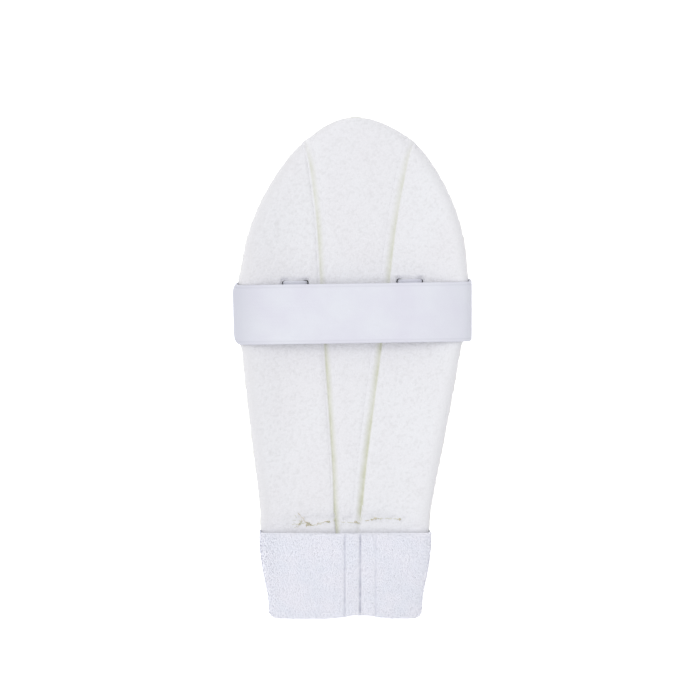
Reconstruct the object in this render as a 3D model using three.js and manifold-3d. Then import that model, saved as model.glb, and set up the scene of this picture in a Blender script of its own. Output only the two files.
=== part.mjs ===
// A cricket arm guard, lying on its outer side with the arm side up.
// Millimetres. +X runs across the forearm, +Y towards the elbow and +Z up, out of the arm side.
// The origin is on the ground, under the middle of the guard.
import * as THREE from 'three';
import { mergeVertices } from 'three/addons/utils/BufferGeometryUtils.js';
import Module from 'manifold-3d';

const wasm = await Module();
wasm.setup();

// The whole guard
const guardLength = 280; // elbow tip to the cuff's hem
const clearance = 0.3; // between pieces that rest on each other

// The pad: a one-piece shell with three padded panels on it
const padWidth = 126.5;
const padTuck = 19; // how far the pad's wrist end reaches into the cuff
const padLean = 0.036; // drift of its middle line to the right for each millimetre towards the elbow
const tipShift = -2.2; // of the elbow tip off that middle line
const tipShiftLength = 11; // the stretch of the tip that this bends
const flatWidth = 44; // the middle stretch of the pad that stays flat
const edgeRise = 12; // how far the long edges curl up past the flat stretch
const elbowLift = 4; // how far the elbow tip curls up
const elbowCurlLength = 70; // the stretch that curls up at the elbow
const wristLiftLength = 45; // the stretch that rises onto the cuff's back wall
const panelBed = 0.4; // between the shell and the panels on it
const shellThickness = 3;
const shellRimThickness = 1.6;
const shellRimRound = 1.2; // how far in from the rim the shell is full thickness
const panelThickness = 9;
const panelInset = 0.6; // the shell shows this far past the panels
const panelRimThickness = 2.2; // of a panel at the pad's outline
const panelRimRound = 7; // how far in from the outline a panel is full thickness
const grooveWidth = 1.6; // between two panels, at the bottom of the groove
const grooveEdgeThickness = 4; // of a panel where it meets the groove
const grooveRound = 3.2; // how far in from the groove a panel is full thickness
const grooveDrift = 1.3; // how far right of the pad's middle line the grooves' own middle ends at the cuff
const tuckInset = 0.5; // how much narrower each side is inside the cuff
const tuckStart = 6; // before the cuff's edge, where that narrowing begins
const tuckCorner = 14; // radius of the pad's two hidden corners

// The seam that holds the cuff's back wall to the pad
const seamBeforeCuff = 6; // from the cuff's front edge towards the elbow
const seamHalfLength = 29;
const seamDent = 1.6;
const seamDentWidth = 3;

// The elastic strap, a closed loop round the pad
const strapWidth = 33;
const strapThickness = 1.6;
const strapAlong = 109.8; // elbow tip to the middle of the run on the arm side
const strapLean = 0.015; // rise towards the elbow for each millimetre to the right
const strapShift = 2.2; // how much nearer the elbow the outer run lies
const strapSlack = 0.4; // between the pad's widest place and the strap
const strapBed = 0.5; // between the panels and the strap's short runs between two slits
const strapTurn = 3.6; // radius of the strap's middle where it turns over the pad's edges
const strapDrawElbow = 1.3; // how far its left end's corner nearer the elbow is drawn in
const strapDrawWrist = 2.2; // and the corner nearer the wrist
const slitNear = 26; // the slits that the strap is woven through, from the pad's middle line
const slitFar = 37.8;
const slitClearance = 0.8; // on each side of the strap in a slit
const slitOverrun = 0.5; // of a slit past each edge of the strap

// The towelling cuff
const cuffHeight = 49; // of its front wall
const cuffWall = 3.4; // of the front and back walls
const cuffSideWall = 1.4;
const cuffSideRoom = 0.6; // between the pad's edges and the cuff's sides
const cuffSideLead = 1.2; // how much nearer the elbow the top edge is at the sides
const cuffBackLead = 10; // and at the back wall
const cuffLeadPower = 8; // the higher, the further under the pad that lead starts
const cuffCorner = 5; // radius of the tube's corners, seen along the arm
const cuffShift = 0.4; // of the cuff to the right of the pad's middle line
const wristRoom = 6; // between the pad's wrist end and the cuff's front wall
const cuffHemRoom = 7.5; // between the front and back walls at the hem
const hemLift = 2.6; // of the hem at the seam
const hemCornerLift = 2.5; // of the hem at the tube's sides
const cuffSeamAcross = 8.2; // the butted seam, from the cuff's middle line
const cuffSeamSpacing = 8.6; // from it to each row of stitches beside it
const cuffSeamDepth = 0.7;
const cuffSeamHalfWidth = 0.6;

// Facets
const rollSteps = 4; // across a panel's rounded edge
const panelSteps = 4; // across the rest of a panel
const shellSteps = 20;
const strapRunSteps = 6; // of half the strap's run on the arm side
const strapTurnSteps = 5;
const strapUnderSteps = 4; // of each stretch of its outer run
const strapBarSteps = 3; // between two slits
const strapRows = 5; // across the strap
const cornerSteps = 5; // round one corner of the cuff
const cuffRings = 10; // down the cuff
const slopeStep = 0.5; // for the slope of a curve at a point
const searchStep = 0.25; // where a place is looked for step by step
const leastSpacing = 0.5; // between two rings across the pad
const leastSideWidth = 2.5; // of a side panel at its elbow end
const shellStart = 0.05; // the first ring of the shell, from the elbow tip
const middleStart = 1; // and of the middle panel
const mostRound = 0.45; // share of a panel's width that one rounded edge may take
const cuffEdgeShare = 0.02; // of the cuff's height, that its rounded edges take

// along: share of the pad that shows, from the elbow tip. half: the outline, as a share of half the pad's
// width. groove: the middle of a groove, as a share of the same. thick: share of the panels' thickness.
const PAD = [
  { along: 0, half: 0, groove: 0.515, thick: 0.8 },
  { along: 0.0095, half: 0.18, groove: 0.504, thick: 0.8 },
  { along: 0.029, half: 0.334, groove: 0.494, thick: 0.84 },
  { along: 0.048, half: 0.435, groove: 0.484, thick: 0.87 },
  { along: 0.082, half: 0.57, groove: 0.436, thick: 0.92 },
  { along: 0.13, half: 0.699, groove: 0.392, thick: 0.96 },
  { along: 0.178, half: 0.801, groove: 0.365, thick: 1 },
  { along: 0.226, half: 0.882, groove: 0.337, thick: 1 },
  { along: 0.274, half: 0.942, groove: 0.315, thick: 1 },
  { along: 0.346, half: 0.994, groove: 0.293, thick: 1 },
  { along: 0.42, half: 1, groove: 0.273, thick: 1 },
  { along: 0.563, half: 0.962, groove: 0.223, thick: 1 },
  { along: 0.732, half: 0.875, groove: 0.161, thick: 1 },
  { along: 0.874, half: 0.793, groove: 0.112, thick: 0.94 },
  { along: 0.961, half: 0.745, groove: 0.096, thick: 0.72 },
  { along: 1, half: 0.732, groove: 0.084, thick: 0.62 },
  { along: 1.1, half: 0.7, groove: 0.075, thick: 0.55 },
];

// along: share of the cuff's height, from its top edge. half: share of its half width at the top.
// high: share of its room, from the room at the hem (0) to the room over the pad (1).
// crown: how far the front wall's sides droop, as a share of the room at the hem.
const CUFF = [
  { along: 0, half: 1, high: 1, crown: 0.1 },
  { along: 0.15, half: 1, high: 1, crown: 0.12 },
  { along: 0.36, half: 0.977, high: 0.96, crown: 0.16 },
  { along: 0.58, half: 0.941, high: 0.6, crown: 0.35 },
  { along: 0.77, half: 0.904, high: 0.22, crown: 0.42 },
  { along: 1, half: 0.893, high: 0, crown: 0.45 },
];

// Where the rings across the pad lie, as shares of the length that shows
const RING_SHARES = [
  0.0035, 0.009, 0.017, 0.03, 0.048, 0.07, 0.095, 0.13, 0.173, 0.225,
  0.286, 0.36, 0.43, 0.5, 0.57, 0.65, 0.73, 0.81, 0.88,
];

// Where the rings lie at the seam's dent, in widths of the dent, and along the two hidden corners
const DENT_STEPS = [-2, -1, 0, 1, 2];
const CORNER_SHARES = [0, 0.35, 0.6, 0.8, 0.93];

// Where the strap's width is looked at, as shares of half of it
const ACROSS_STRAP = [-1, -0.5, 0, 0.5, 1];

// Plain columns of the cuff's two walls, as shares of half its width
const FRONT_COLUMNS = [-0.75, -0.5, -0.25];
const BACK_COLUMNS = [0.5, 0, -0.5];

const tipY = guardLength / 2;
const shownLength = guardLength - cuffHeight;
const padLength = shownLength + padTuck;
const halfPad = padWidth / 2;
const yOf = (s) => tipY - s;
const sOf = (y) => tipY - y;

const lerp = THREE.MathUtils.lerp;
const smooth = (t) => THREE.MathUtils.smoothstep(t, 0, 1);

// A smooth curve through one column of a table. The square root spreads out the rows at a rounded tip.
function track(table, column, spread = Math.sqrt) {
  const t = table.map((row) => spread(row.along));
  const v = table.map((row) => row[column]);
  const slope = t.map((_, i) => {
    const a = Math.max(0, i - 1);
    const b = Math.min(t.length - 1, i + 1);
    return (v[b] - v[a]) / (t[b] - t[a]);
  });
  return (along) => {
    const x = THREE.MathUtils.clamp(spread(Math.max(0, along)), t[0], t.at(-1));
    const i = Math.min(t.length - 2, Math.max(0, t.findIndex((next) => next > x) - 1));
    const last = x >= t.at(-1) ? t.length - 2 : i;
    const width = t[last + 1] - t[last];
    const u = (x - t[last]) / width;
    return (
      (1 + 2 * u) * (1 - u) ** 2 * v[last] +
      u * (1 - u) ** 2 * width * slope[last] +
      u ** 2 * (3 - 2 * u) * v[last + 1] +
      u ** 2 * (u - 1) * width * slope[last + 1]
    );
  };
}

const outlineShare = track(PAD, 'half');
const grooveShare = track(PAD, 'groove');
const thickShare = track(PAD, 'thick');

// The pad's half width, s millimetres from the elbow tip
function half(s) {
  const narrowing = tuckInset * smooth((s - shownLength + tuckStart) / tuckStart);
  const past = Math.max(0, s - (padLength - tuckCorner));
  const corner = tuckCorner - Math.sqrt(Math.max(0, tuckCorner ** 2 - past ** 2));
  return halfPad * outlineShare(s / shownLength) - narrowing - corner;
}

// The middle of a groove, from the pad's middle line
const grooveAt = (s) => halfPad * grooveShare(s / shownLength);

// Where the pad's middle line runs: through the middle of the strap
function middleAt(s) {
  const bend = Math.max(0, 1 - Math.max(0, s) / tipShiftLength);
  return padLean * (strapAlong - s) + tipShift * bend;
}

const fromMiddle = (x, y) => Math.abs(x - middleAt(sOf(y)));

// The middle line between the two grooves, from the pad's own
const driftAt = (s) => (grooveDrift * s) / shownLength;

// The underside of the pad: flat along the middle, curled up at the long edges and at the elbow,
// on the strap's outer run at the middle and on the cuff's back wall at the wrist
function padUnder(x, y) {
  const curl = Math.max(0, (fromMiddle(x, y) - flatWidth / 2) / (halfPad - flatWidth / 2));
  const elbow = Math.max(0, (elbowCurlLength - sOf(y)) / elbowCurlLength);
  const wristRise = cuffWall - strapThickness;
  const wrist = smooth((sOf(y) - (shownLength - cuffBackLead - wristLiftLength)) / wristLiftLength);
  return strapThickness + clearance + edgeRise * curl ** 2 + elbowLift * elbow ** 2 + wristRise * wrist;
}

const shellTop = (x, y) => padUnder(x, y) + shellThickness;

// A quarter round from 0 at an edge to 1 where the surface is level
const quarterRound = (d) => Math.sqrt(1 - (1 - THREE.MathUtils.clamp(d, 0, 1)) ** 2);

// How far a point is from the pad's outline, by the outline's own slope there. across is the point's distance from
// the pad's middle line.
function fromOutline(across, s) {
  const near = Math.max(slopeStep, s);
  const slope = (half(near + slopeStep) - half(near - slopeStep)) / (2 * slopeStep);
  return Math.max(0, half(s) - across) / Math.hypot(1, slope);
}

// The dent that the cuff's seam pulls across the panels
function seamDentAt(across, s) {
  const along = (s - (shownLength - seamBeforeCuff)) / seamDentWidth;
  const within = smooth((seamHalfLength - across) / seamDentWidth + 1);
  return seamDent * within * Math.exp(-(along ** 2));
}

// A panel's thickness, rounded down to the outline and to the grooves
function panelAt(x, y) {
  const s = sOf(y);
  const across = fromMiddle(x, y);
  const full = panelThickness * thickShare(s / shownLength);
  const inRim = Math.max(0, fromOutline(across, s) - panelInset);
  const rimEdge = Math.min(full, panelRimThickness);
  const rim = rimEdge + (full - rimEdge) * quarterRound(inRim / panelRimRound);
  const fromDrift = Math.abs(x - middleAt(s) - driftAt(s));
  const fromGroove = Math.max(0, Math.abs(fromDrift - grooveAt(s)) - grooveWidth / 2);
  const grooveEdge = Math.min(full, grooveEdgeThickness);
  const groove = grooveEdge + (full - grooveEdge) * quarterRound(fromGroove / grooveRound);
  return Math.max(panelRimThickness / 2, Math.min(rim, groove) - seamDentAt(across, s));
}

const panelUnder = (x, y) => shellTop(x, y) + panelBed;
const panelTop = (x, y) => panelUnder(x, y) + panelAt(x, y);

// A closed solid over rings of points. A loop joins the last ring to the first, and otherwise each end is
// capped, by a strip from a ring's first half to its second.
function solidOf(rings, loop = false) {
  const n = rings[0].length;
  const index = [];
  const quad = (a, b, c, d) => index.push(a, b, c, a, c, d);
  const spans = loop ? rings.length : rings.length - 1;
  for (let i = 0; i < spans; i++) {
    const next = (i + 1) % rings.length;
    for (let j = 0; j < n; j++) {
      const k = (j + 1) % n;
      quad(i * n + j, next * n + j, next * n + k, i * n + k);
    }
  }
  if (!loop) {
    const end = (rings.length - 1) * n;
    for (let j = 0; j < n / 2 - 1; j++) {
      quad(j, j + 1, n - 2 - j, n - 1 - j);
      quad(end + n - 1 - j, end + n - 2 - j, end + j + 1, end + j);
    }
  }
  const geometry = new THREE.BufferGeometry().setFromPoints(rings.flat());
  geometry.setIndex(volumeOf(geometry, index) < 0 ? index.reverse() : index);
  return geometry;
}

// The signed volume inside a triangle list, negative where its faces point inwards
function volumeOf(geometry, index) {
  const at = (i) => new THREE.Vector3().fromBufferAttribute(geometry.getAttribute('position'), i);
  let sum = 0;
  for (let i = 0; i < index.length; i += 3) {
    sum += at(index[i]).dot(at(index[i + 1]).cross(at(index[i + 2])));
  }
  return sum / 6;
}

function toManifold(geometry) {
  const bare = geometry.clone();
  bare.deleteAttribute('normal');
  bare.deleteAttribute('uv');
  const merged = mergeVertices(bare, 1e-4);
  const mesh = new wasm.Mesh({
    numProp: 3,
    vertProperties: new Float32Array(merged.attributes.position.array),
    triVerts: new Uint32Array(merged.index.array),
  });
  return new wasm.Manifold(mesh);
}

function fromManifold(manifold) {
  const mesh = manifold.getMesh();
  const geometry = new THREE.BufferGeometry();
  geometry.setAttribute('position', new THREE.BufferAttribute(mesh.vertProperties, 3));
  geometry.setIndex(new THREE.BufferAttribute(mesh.triVerts, 1));
  return geometry;
}

// A ring across the pad, s millimetres from the elbow tip: the top from left to right, then the underside back again.
// The columns are measured from the pad's middle line.
function sectionRing(columns, s, top, under) {
  const y = yOf(s);
  const across = columns.map((column) => middleAt(s) + column);
  const upper = across.map((x) => new THREE.Vector3(x, y, top(x, y)));
  const lower = across.map((x) => new THREE.Vector3(x, y, under(x, y))).reverse();
  return [...upper, ...lower];
}

// Places along the pad, with more of them at the seam's dent and at the two hidden corners
function places(from, to) {
  const seam = shownLength - seamBeforeCuff;
  const shown = RING_SHARES.map((share) => share * shownLength);
  const dent = DENT_STEPS.map((step) => seam + step * seamDentWidth);
  const corner = CORNER_SHARES.map((share) => padLength - tuckCorner * (1 - share));
  const found = [from];
  for (const s of [...shown, ...dent, ...corner]) {
    if (s > found.at(-1) + leastSpacing && s < to - leastSpacing) found.push(s);
  }
  return [...found, to];
}

// Columns across a panel, closer together where its edges round over
function panelColumns(left, right, leftRound, rightRound) {
  const width = right - left;
  const a = Math.min(leftRound, width * mostRound);
  const b = Math.min(rightRound, width * mostRound);
  const share = (i) => (i / rollSteps) ** 2;
  const columns = [];
  for (let i = 0; i < rollSteps; i++) columns.push(left + a * share(i));
  for (let i = 0; i <= panelSteps; i++) columns.push(lerp(left + a, right - b, i / panelSteps));
  for (let i = rollSteps - 1; i >= 0; i--) columns.push(right - b * share(i));
  return columns;
}

function middlePanel() {
  const rings = places(middleStart, padLength - clearance).map((s) => {
    const groove = grooveAt(s) - grooveWidth / 2;
    const rim = half(s) - panelInset;
    const left = Math.max(driftAt(s) - groove, -rim);
    const right = Math.min(driftAt(s) + groove, rim);
    const round = rim < groove ? panelRimRound : grooveRound;
    return sectionRing(panelColumns(left, right, round, round), s, panelTop, panelUnder);
  });
  return solidOf(rings);
}

// side is -1 for the left panel and 1 for the right one
function sidePanel(side) {
  const width = (s) => half(s) - panelInset - grooveAt(s) - grooveWidth / 2;
  let first = 0;
  while (width(first) < leastSideWidth) first += searchStep;
  const rings = places(first, padLength - clearance).map((s) => {
    const inner = driftAt(s) + side * (grooveAt(s) + grooveWidth / 2);
    const outer = side * (half(s) - panelInset);
    const columns =
      side > 0
        ? panelColumns(inner, outer, grooveRound, panelRimRound)
        : panelColumns(outer, inner, panelRimRound, grooveRound);
    return sectionRing(columns, s, panelTop, panelUnder);
  });
  return solidOf(rings);
}

function shell() {
  const rings = places(shellStart, padLength).map((s) => {
    const edge = half(s);
    const round = Math.min(shellRimRound, edge / 3);
    const inner = edge - round;
    const columns = [-edge];
    for (let i = 0; i <= shellSteps; i++) columns.push(lerp(-inner, inner, i / shellSteps));
    columns.push(edge);
    const rimThinning = (shellThickness - shellRimThickness) / 2;
    const thinning = (x, y) => (fromMiddle(x, y) > (inner + edge) / 2 ? rimThinning : 0);
    const top = (x, y) => shellTop(x, y) - thinning(x, y);
    const under = (x, y) => padUnder(x, y) + thinning(x, y);
    return sectionRing(columns, s, top, under);
  });
  return solidOf(rings);
}

// The strap's middle surface: where it lies at one point of its path, across its width
const strapY = (x, across, outer) =>
  yOf(strapAlong) + across * (strapWidth / 2) + strapLean * x + strapShift * outer;

// The highest place of the panels under the strap's run on the arm side
function strapRest() {
  let highest = 0;
  for (let x = -halfPad; x <= halfPad; x += searchStep) {
    for (const across of ACROSS_STRAP) {
      highest = Math.max(highest, panelTop(x, strapY(x, across, 0)));
    }
  }
  return highest;
}

// The pad's widest reach under the strap, from the strap's middle
function widestUnderStrap() {
  const halfWayRound = 0.5;
  const reach = ACROSS_STRAP.map((across) => {
    const s = sOf(strapY(0, across, halfWayRound));
    return half(s) + Math.abs(middleAt(s));
  });
  return Math.max(...reach);
}

const runHeight = strapRest() + clearance + strapThickness / 2;
const strapReach = widestUnderStrap() + strapSlack + strapThickness / 2;

// How far out the middle of the strap's thickness turns. The left end's corners are drawn in.
function reachAt(side, across) {
  const draw = across > 0 ? strapDrawElbow : strapDrawWrist;
  return strapReach - (side < 0 ? draw * across ** 4 : 0);
}

// The strap's path round one half of the pad, seen along the arm: from the middle of its outer run, up through one
// slit and down through the next, round the pad's edge and back to the middle of its run on the arm side.
// side is -1 for the left half and 1 for the right one. outer is 1 on the outer run and 0 on the arm side.
function strapHalfPath(side, across) {
  const away = clearance + strapThickness / 2;
  const reach = reachAt(side, across);
  const y = (x) => strapY(side * x, across, 1);
  const under = (x) => padUnder(side * x, y(x));
  const slope = (x) => (under(x + slopeStep) - under(x - slopeStep)) / (2 * slopeStep);
  const path = [];
  const add = (x, z, outer) => path.push({ x: side * x, z, outer });
  const addBelow = (x) => {
    const length = Math.hypot(1, slope(x));
    add(x + (away * slope(x)) / length, under(x) - away / length, 1);
  };
  const addLeg = (x) => add(x, under(x) - away, 1);
  const addRun = (from, to) => {
    for (let i = 0; i <= strapUnderSteps; i++) addBelow(lerp(from, to, i / strapUnderSteps));
  };

  addRun(0, slitNear - strapThickness);
  addLeg(slitNear);
  for (let i = 0; i <= strapBarSteps; i++) {
    const x = lerp(slitNear, slitFar, i / strapBarSteps);
    add(x, panelTop(side * x, y(x)) + strapBed + strapThickness / 2, 1);
  }
  addLeg(slitFar);

  const lean = Math.atan(slope(reach - strapTurn / 2));
  const turnStart = reach - strapTurn * (1 - Math.sin(lean));
  addRun(slitFar + strapThickness, turnStart - away * Math.sin(lean));
  const foot = path.at(-1);
  const outerAt = (z) => (runHeight - z) / (runHeight - foot.z);
  const addTurn = (x, z, from, to) => {
    for (let i = 0; i <= strapTurnSteps; i++) {
      const angle = lerp(from, to, i / strapTurnSteps);
      const height = z + strapTurn * Math.sin(angle);
      add(x + strapTurn * Math.cos(angle), height, outerAt(height));
    }
  };
  const turnMiddle = reach - strapTurn;
  path.pop();
  addTurn(turnMiddle, foot.z + strapTurn * Math.cos(lean), lean - Math.PI / 2, 0);
  addTurn(turnMiddle, runHeight - strapTurn, 0, Math.PI / 2);
  for (let i = 1; i < strapRunSteps; i++) add(lerp(turnMiddle, 0, i / strapRunSteps), runHeight, 0);
  return path;
}

// The whole closed path, without doubled points where the halves meet
function strapPath(across) {
  const right = strapHalfPath(1, across);
  const left = strapHalfPath(-1, across);
  const top = { x: 0, z: runHeight, outer: 0 };
  return [...right, top, ...left.slice(1).reverse()];
}

// The strap's two faces are set off square to the path, and mitred where it turns
function strap() {
  const rows = [];
  for (let r = 0; r < strapRows; r++) {
    const across = lerp(-1, 1, r / (strapRows - 1));
    const path = strapPath(across);
    const n = path.length;
    rows.push(
      path.map((p, i) => {
        const before = path[(i + n - 1) % n];
        const after = path[(i + 1) % n];
        const a = new THREE.Vector2(p.x - before.x, p.z - before.z).normalize();
        const b = new THREE.Vector2(after.x - p.x, after.z - p.z).normalize();
        const normal = new THREE.Vector2(a.y + b.y, -a.x - b.x).normalize();
        const mitre = normal.dot(new THREE.Vector2(a.y, -a.x));
        const reach = strapThickness / 2 / mitre;
        const y = strapY(p.x, across, p.outer);
        return {
          out: new THREE.Vector3(p.x + normal.x * reach, y, p.z + normal.y * reach),
          in: new THREE.Vector3(p.x - normal.x * reach, y, p.z - normal.y * reach),
        };
      }),
    );
  }
  const rings = rows[0].map((_, i) => [
    ...rows.map((row) => row[i].out),
    ...rows.map((row) => row[i].in).reverse(),
  ]);
  return solidOf(rings, true);
}

// The four slits that the strap passes through, as blocks to cut away
function cutSlits(geometry, sides) {
  const through = 4 * runHeight;
  let cut = toManifold(geometry);
  for (const side of sides) {
    for (const across of [slitNear, slitFar]) {
      const block = new THREE.BoxGeometry(
        strapThickness + 2 * slitClearance,
        strapWidth + 2 * slitOverrun,
        through,
      );
      block.translate(side * across, strapY(side * across, 0, 1), runHeight);
      cut = cut.subtract(toManifold(block));
    }
  }
  return fromManifold(cut);
}

// A round-cornered section of the cuff, the same number of points for any size. It starts at the left end of the
// front wall and runs over the top to the right, then back along the back wall.
function cuffRing(halfWidth, low, high, corner, columns) {
  const radius = Math.min(corner, mostRound * (high - low));
  const flat = halfWidth - radius;
  const ring = columns.map((x) => ({ x: THREE.MathUtils.clamp(x, -flat, flat), z: high, nx: 0, nz: 1 }));
  const arc = (cx, cz, from) => {
    for (let i = 0; i <= cornerSteps; i++) {
      const angle = from - (i / cornerSteps) * (Math.PI / 2);
      const nx = Math.cos(angle);
      const nz = Math.sin(angle);
      ring.push({ x: cx + radius * nx, z: cz + radius * nz, nx, nz });
    }
  };
  arc(flat, high - radius, Math.PI / 2);
  arc(flat, low + radius, 0);
  for (const share of BACK_COLUMNS) ring.push({ x: flat * share, z: low, nx: 0, nz: -1 });
  arc(-flat, low + radius, -Math.PI / 2);
  arc(-flat, high - radius, -Math.PI);
  return ring;
}

const cuffMiddle = middleAt(shownLength) + cuffShift;
const wristTop = panelTop(middleAt(shownLength), yOf(shownLength));
const cuffHalf = half(shownLength - cuffSideLead) + cuffSideRoom + cuffSideWall;
const cuffHalfShare = track(CUFF, 'half', (along) => along);
const cuffHighShare = track(CUFF, 'high', (along) => along);
const cuffCrownShare = track(CUFF, 'crown', (along) => along);

// Columns across the front wall: plain ones, and three for each line of the seam
const seamLines = [-1, 0, 1].map((k) => cuffSeamAcross + k * cuffSeamSpacing);
const plainColumns = FRONT_COLUMNS.map((share) => share * cuffHalf);
const seamColumns = seamLines.flatMap((x) => [x - cuffSeamHalfWidth, x, x + cuffSeamHalfWidth]);
const lastColumn = (seamLines[2] - plainColumns[0]) / 2;
const frontColumns = [...plainColumns, ...seamColumns, lastColumn];

// One ring of the cuff, on its outer face (depth 0) or its inner one (depth 1)
function cuffAt(along, depth) {
  const room = lerp(cuffHemRoom, wristTop + wristRoom - cuffWall, cuffHighShare(along));
  const halfWidth = cuffHalf * cuffHalfShare(along) - depth * cuffSideWall;
  const low = depth * cuffWall;
  const high = 2 * cuffWall + room - depth * cuffWall;
  const ring = cuffRing(halfWidth, low, high, cuffCorner - depth * cuffSideWall, frontColumns);
  return ring.map((p) => {
    const seamDip = seamLines.includes(p.x) && p.nz === 1 ? cuffSeamDepth * (1 - depth) : 0;
    const droop = Math.max(0, p.nz) * cuffHemRoom * cuffCrownShare(along) * (p.x / halfWidth) ** 2;
    const facing = p.nz; // 1 on the front wall, 0 at the sides and -1 on the back wall
    const lead = facing > 0 ? lerp(cuffSideLead, 0, facing) : lerp(cuffSideLead, cuffBackLead, (-facing) ** cuffLeadPower);
    const top = yOf(shownLength) + lead;
    const atSeam = Math.exp(-(((p.x - cuffSeamAcross) / cuffSeamSpacing) ** 2));
    const lift = hemCornerLift * (1 - Math.abs(facing)) + hemLift * Math.abs(facing) * atSeam;
    const y = lerp(top, -guardLength / 2 + lift, along);
    return new THREE.Vector3(cuffMiddle + p.x, y, p.z - seamDip - droop);
  });
}

function cuff() {
  const alongAt = (i) => lerp(cuffEdgeShare, 1 - cuffEdgeShare, i / cuffRings);
  const midWall = 0.5;
  const rings = [];
  for (let i = 0; i <= cuffRings; i++) rings.push(cuffAt(alongAt(i), 0));
  rings.push(cuffAt(1, midWall));
  for (let i = cuffRings; i >= 0; i--) rings.push(cuffAt(alongAt(i), 1));
  rings.push(cuffAt(0, midWall));
  return solidOf(rings, true);
}

function add(group, name, geometry, colour, roughness) {
  const material = new THREE.MeshStandardMaterial({ color: colour, roughness, metalness: 0 });
  geometry.computeVertexNormals();
  const mesh = new THREE.Mesh(geometry, material);
  mesh.name = name;
  group.add(mesh);
}

const guard = new THREE.Group();
const pad = new THREE.Group();
const cover = 0xeceaef;
add(pad, 'shell', cutSlits(shell(), [-1, 1]), 0xe4e3cf, 0.6);
add(pad, 'panel_left', cutSlits(sidePanel(-1), [-1]), cover, 0.95);
add(pad, 'panel_middle', middlePanel(), cover, 0.95);
add(pad, 'panel_right', cutSlits(sidePanel(1), [1]), cover, 0.95);
guard.add(pad);
add(guard, 'strap', strap(), 0xe6e6f0, 0.75);
add(guard, 'cuff', cuff(), 0xe5e6f1, 0.95);

export default guard;
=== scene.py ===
"""A cricket arm guard lying arm side up: padded panels, woven elastic and a towelling cuff."""

import math
import random

import bmesh
import bpy
import numpy as np
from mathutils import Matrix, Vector
from mathutils.bvhtree import BVHTree


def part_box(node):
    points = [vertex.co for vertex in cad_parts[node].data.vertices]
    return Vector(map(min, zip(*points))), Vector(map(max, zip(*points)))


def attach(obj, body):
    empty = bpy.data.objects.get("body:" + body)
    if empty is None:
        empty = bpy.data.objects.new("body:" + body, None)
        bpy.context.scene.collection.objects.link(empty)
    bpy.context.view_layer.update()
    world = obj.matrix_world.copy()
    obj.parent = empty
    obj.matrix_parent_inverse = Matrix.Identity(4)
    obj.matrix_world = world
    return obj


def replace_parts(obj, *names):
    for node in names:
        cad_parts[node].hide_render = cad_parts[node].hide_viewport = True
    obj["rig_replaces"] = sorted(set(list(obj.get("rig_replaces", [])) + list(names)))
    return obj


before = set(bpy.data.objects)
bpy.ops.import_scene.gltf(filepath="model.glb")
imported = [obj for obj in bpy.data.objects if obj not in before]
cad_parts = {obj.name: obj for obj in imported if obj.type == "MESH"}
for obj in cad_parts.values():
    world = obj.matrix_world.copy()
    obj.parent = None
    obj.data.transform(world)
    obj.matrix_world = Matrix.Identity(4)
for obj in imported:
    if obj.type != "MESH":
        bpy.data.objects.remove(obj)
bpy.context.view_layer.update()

MM = 0.001
LEFT = -1
RIGHT = 1
UP = Vector((0, 0, 1))
DOWN = Vector((0, 0, -1))
RAY_START = 100 * MM  # rays along Z start this far above or below the floor

# The photograph's view: from straight above
VIEW_HEIGHT = 1500 * MM
VIEW_WIDTH = 388.9 * MM  # what the picture takes in at the pad's own height
VIEW_LEVEL = 14 * MM  # the height of the pad's face
VIEW_X = -1.4 * MM
VIEW_Y = 10 * MM
SENSOR_WIDTH = 36

# Light and floor
SKY_STRENGTH = 0.62
LAMP_PLACE = (-400 * MM, 80 * MM, 1600 * MM)
LAMP_SIZE = 1500 * MM
LAMP_WATTS = 13.5
FLOOR_REACH = 3000 * MM
FLOOR_GREY = 0.95
FLOOR_GLOW = 0.55

# Colours
PILE_DEEP = (0.812, 0.809, 0.847)
PILE_TIPS = (0.878, 0.878, 0.914)
PILE_WARM = (0.833, 0.826, 0.859)
PILE_COOL = (0.853, 0.863, 0.894)
PILE_SHADE = (0.70, 0.695, 0.715)
GLUE_THICK = (0.62, 0.635, 0.495)
GLUE_THIN = (0.69, 0.70, 0.585)
FOAM_DARK = (0.79, 0.79, 0.765)
FOAM_LIGHT = (0.84, 0.84, 0.82)
ELASTIC_DARK = (0.755, 0.755, 0.845)
ELASTIC_LIGHT = (0.785, 0.80, 0.87)
ELASTIC_SHADE = (0.52, 0.53, 0.60)
TERRY_DARK = (0.89, 0.905, 0.975)
TERRY_LIGHT = (0.915, 0.915, 0.98)
TERRY_SHADE = (0.42, 0.43, 0.53)
RUST_DARK = (0.58, 0.515, 0.37)
RUST_LIGHT = (0.73, 0.675, 0.54)
STRAW_DARK = (0.58, 0.58, 0.44)
STRAW_LIGHT = (0.74, 0.74, 0.60)

# Meshing
WELD = 0.001 * MM
JOIN = math.radians(25)  # triangles that meet at a smaller angle are joined before the rounding
SHARP = math.radians(38)  # edges of the solids that turn more stay sharp
ROUNDINGS = 2
SOFTEN = 6  # rounds of smoothing after the even remesh
SHELL_SOFTEN = 3
PANEL_VOXEL = 0.62 * MM
SHELL_VOXEL = 1.1 * MM
CUFF_VOXEL = 0.95 * MM

# The panels' cover: its tufts, its waves and its slow swell, each with its size and height
PANEL_NODES = ["panel_left", "panel_middle", "panel_right"]
PANEL_SEEDS = [11, 21, 31]
TUFT_SIZE = 1.0 * MM
TUFT_LIFT = 0.14 * MM
TUFT_SHADE = 0.5
WAVE_SIZE = 6 * MM
WAVE_LIFT = 0.08 * MM
SWELL_SIZE = 26 * MM
SWELL_LIFT = 0.16 * MM
SETTLE = 0.05 * MM  # how far the whole cover lies below the solid's face

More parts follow.
